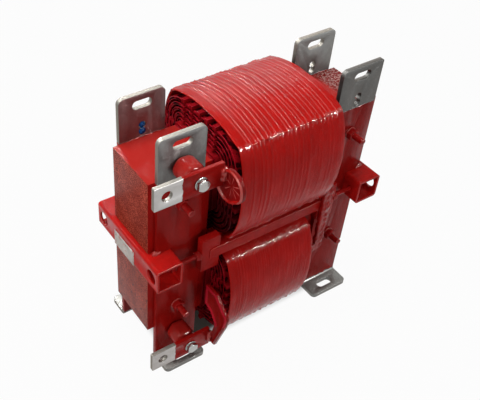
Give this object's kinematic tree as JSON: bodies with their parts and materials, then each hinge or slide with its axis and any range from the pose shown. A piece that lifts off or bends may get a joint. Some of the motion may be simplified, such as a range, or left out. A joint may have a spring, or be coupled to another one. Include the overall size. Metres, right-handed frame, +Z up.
{
  "type": "chopper inductor",
  "caption": "Chopper inductor: ribbed, red-varnished coils on a laminated gapped core, held in steel strip brackets with slotted feet, square cross tubes and terminal bars on standoffs.",
  "frame": {"origin": "on the floor, midway between the four slotted feet", "axes": "X along the coils with the terminals at -X, the terminal side faces -Y, Z up"},
  "size_m": [0.347, 0.192, 0.358],
  "materials": {
    "yoke_varnish": "gloss red varnish over steel laminations",
    "strip_steel": "bare flat steel bar",
    "tube_varnish": "gloss red varnish",
    "weld_varnish": "varnished weld bead",
    "insulation_varnish": "laminated insulation under varnish",
    "core_steel": "silicon steel laminations",
    "gap_board": "insulating board",
    "winding_varnish": "varnished copper",
    "wrap_varnish": "tape wrap under gloss red varnish",
    "standoff_resin": "moulded red resin",
    "terminal_varnish": "varnished copper bar with a bare tinned end",
    "varnished_fastener": "varnished steel",
    "bright_fastener": "zinc-plated steel",
    "plate_aluminium": "blank plate"
  },
  "bodies": {
    "root": {"back_left_clamp": "insulation_varnish", "back_left_strip": "strip_steel", "back_right_clamp": "insulation_varnish", "back_right_strip": "strip_steel", "back_spacer_bar": "insulation_varnish", "front_left_clamp": "insulation_varnish", "front_left_strip": "strip_steel", "front_right_clamp": "insulation_varnish", "front_right_strip": "strip_steel", "front_spacer_bar": "insulation_varnish", "left_cross_tube": "tube_varnish", "left_tube_welds": "weld_varnish", "left_yoke": "yoke_varnish", "lower_coil_wrap": "wrap_varnish", "lower_gap_spacers": "gap_board", "lower_layer_sticks": "gap_board", "lower_lead": "winding_varnish", "lower_limb_blocks": "core_steel", "lower_limb_tube": "gap_board", "lower_standoff": "standoff_resin", "lower_terminal_bar": "terminal_varnish", "lower_winding": "winding_varnish", "rating_plate": "plate_aluminium", "right_cross_tube": "tube_varnish", "right_tube_welds": "weld_varnish", "right_yoke": "yoke_varnish", "series_link": "winding_varnish", "standoff_collars": "bright_fastener", "standoff_screws": "varnished_fastener", "stud_nuts": "varnished_fastener", "stud_washers": "varnished_fastener", "terminal_bolts": "bright_fastener", "terminal_washers": "bright_fastener", "terminal_welds": "weld_varnish", "tie_rod_nuts": "varnished_fastener", "tie_rod_washers": "varnished_fastener", "tie_rods": "varnished_fastener", "upper_coil_wrap": "wrap_varnish", "upper_gap_spacers": "gap_board", "upper_layer_sticks": "gap_board", "upper_lead": "winding_varnish", "upper_limb_blocks": "core_steel", "upper_limb_tube": "gap_board", "upper_standoff": "standoff_resin", "upper_terminal_bar": "terminal_varnish", "upper_winding": "winding_varnish", "yoke_studs": "varnished_fastener"}
  },
  "joints": []
}
